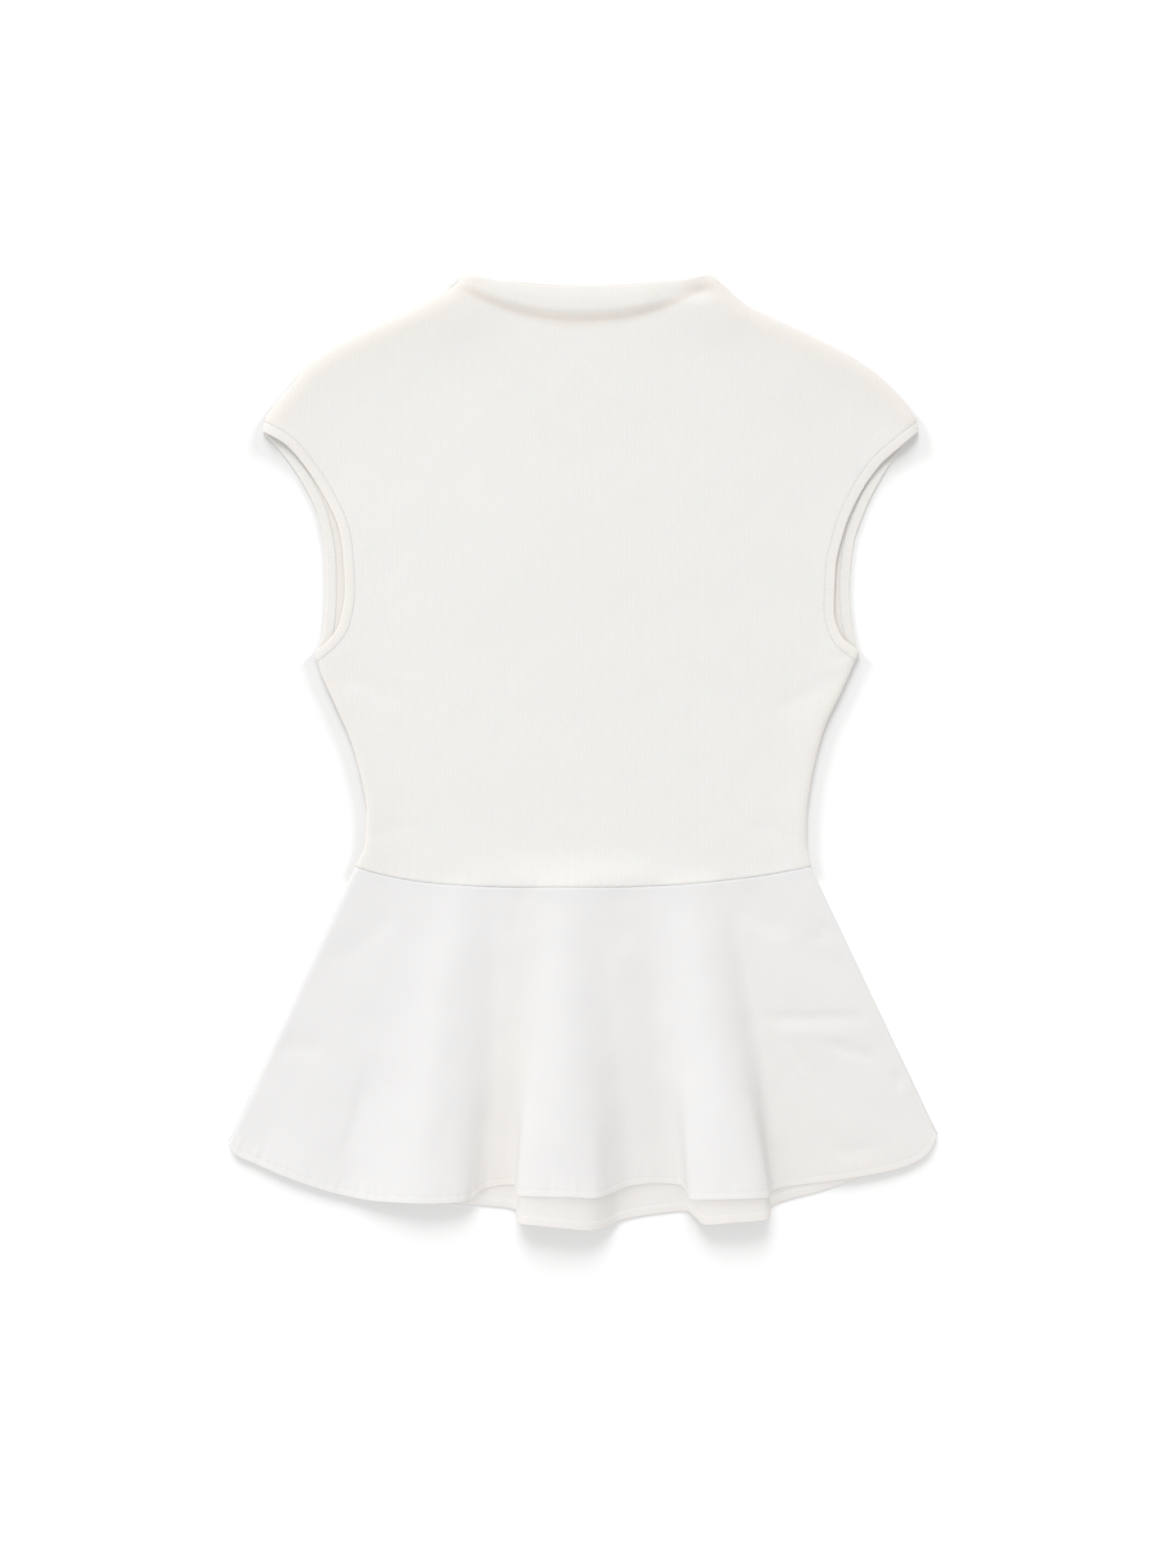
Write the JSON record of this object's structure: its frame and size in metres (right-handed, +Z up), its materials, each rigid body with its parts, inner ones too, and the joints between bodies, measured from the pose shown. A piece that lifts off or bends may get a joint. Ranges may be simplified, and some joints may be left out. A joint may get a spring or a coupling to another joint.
{
  "type": "peplum top",
  "caption": "Fitted rib-knit top with cap shoulders, a short standing neck and a flared woven peplum in soft flutes, laid flat on its back.",
  "frame": {"origin": "on the surface that the top lies on, under the middle of its outline", "axes": "+X towards the viewer's right, +Y from the hem towards the neck, +Z up from the surface, towards the front of the top"},
  "size_m": [0.494, 0.6635, 0.0285],
  "materials": {
    "rib_knit": "fine vertical rib knit, off-white, matt",
    "rib_band": "the same rib knit folded as a narrow binding",
    "woven_peplum": "smooth plain woven cloth, white, low sheen"
  },
  "bodies": {
    "root": {"front_bodice": "rib_knit", "back_bodice": "rib_knit", "armhole_band_left": "rib_band", "armhole_band_right": "rib_band", "front_peplum": "woven_peplum", "back_peplum": "woven_peplum"}
  },
  "joints": []
}
